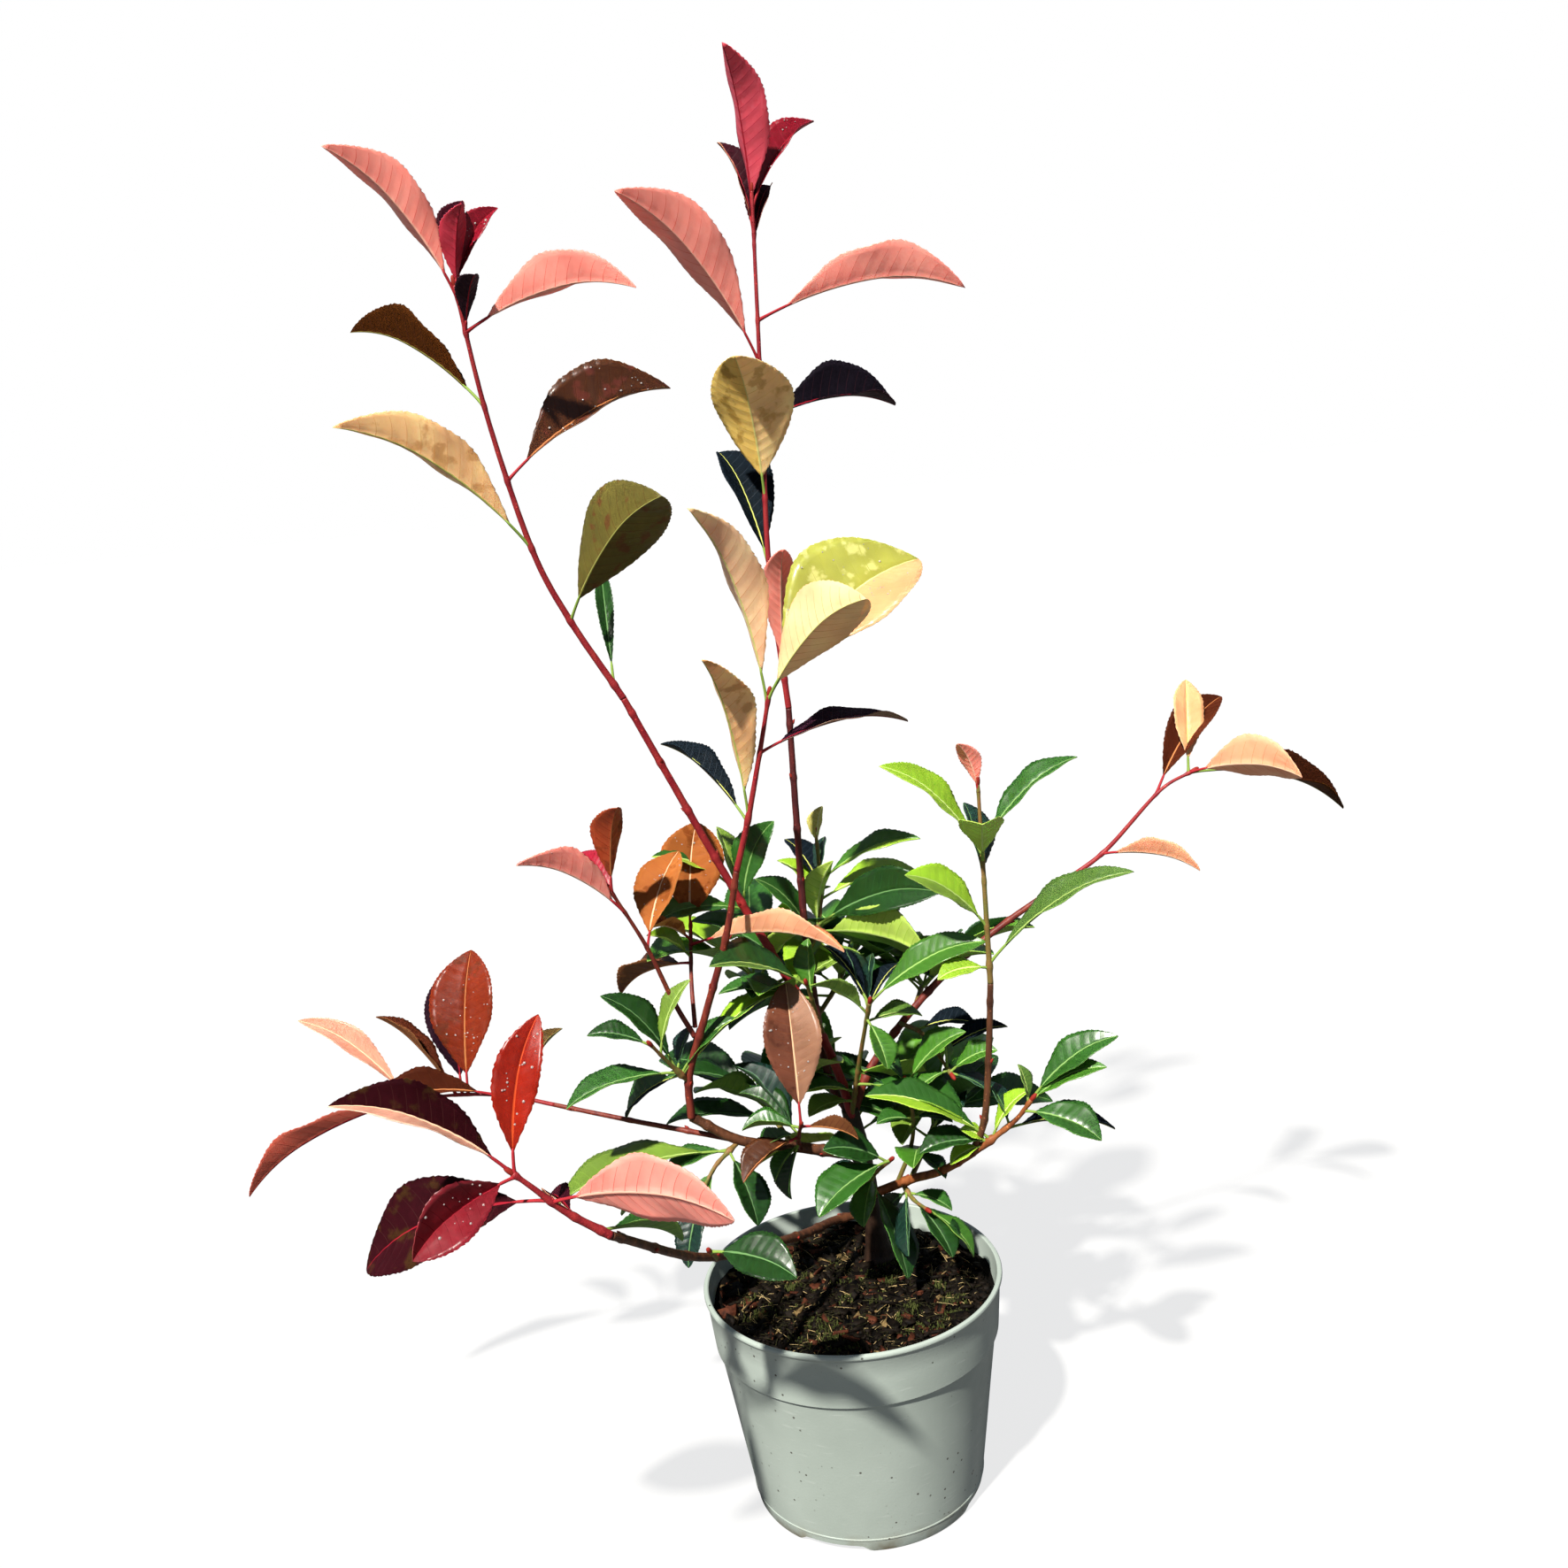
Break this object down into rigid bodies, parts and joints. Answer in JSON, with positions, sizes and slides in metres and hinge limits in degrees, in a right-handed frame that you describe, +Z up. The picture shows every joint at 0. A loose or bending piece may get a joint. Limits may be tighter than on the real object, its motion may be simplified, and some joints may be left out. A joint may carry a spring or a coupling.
{
  "type": "potted photinia red robin shrub",
  "caption": "Young photinia red robin shrub with red, bronze and green leaves on slim leaning stems, in a round pale nursery pot.",
  "frame": {"origin": "centre of the pot's flat underside", "axes": "+Z up along the pot's axis, -Y towards the front of the plant, +X to its right"},
  "size_m": [0.744, 0.4419, 0.8862],
  "materials": {
    "pot_plastic": "satin pale grey-green moulded plastic",
    "compost": "rough dark bark compost",
    "bark": "smooth red-brown bark with pale specks",
    "new_foliage": "soft, slightly glossy young leaves",
    "foliage": "glossy leathery leaves"
  },
  "bodies": {
    "root": {"pot": "pot_plastic", "compost": "compost", "trunk": "bark", "tall_left_bough": "bark", "tall_centre_bough": "bark", "slanting_bough": "bark", "mid_bough_base": "bark", "mid_bough": "bark", "far_left_twig": "bark", "low_left_bough": "bark", "low_right_bough": "bark", "right_bough": "bark", "tall_left_top_leaves": "new_foliage", "tall_centre_top_leaves": "new_foliage", "mid_top_leaves": "new_foliage", "side_coral_leaves": "new_foliage", "side_orange_leaves": "new_foliage", "far_left_leaves": "new_foliage", "low_left_leaves": "new_foliage", "front_bronze_leaves": "new_foliage", "right_tip_leaves": "new_foliage", "tall_left_middle_leaves": "foliage", "tall_centre_middle_leaves": "foliage", "side_green_leaves": "foliage", "rim_left_leaves": "foliage", "centre_left_leaves": "foliage", "centre_front_leaves": "foliage", "trunk_front_leaves": "foliage", "low_right_leaves": "foliage", "right_top_leaves": "foliage", "right_bush_leaves": "foliage", "low_bush_leaves": "foliage", "low_front_leaves": "foliage", "rim_front_leaves": "foliage", "back_left_leaves": "foliage", "back_right_leaves": "foliage", "back_centre_leaves": "foliage", "back_low_leaves": "foliage", "back_low_left_leaves": "foliage", "back_low_right_leaves": "foliage"}
  },
  "joints": []
}
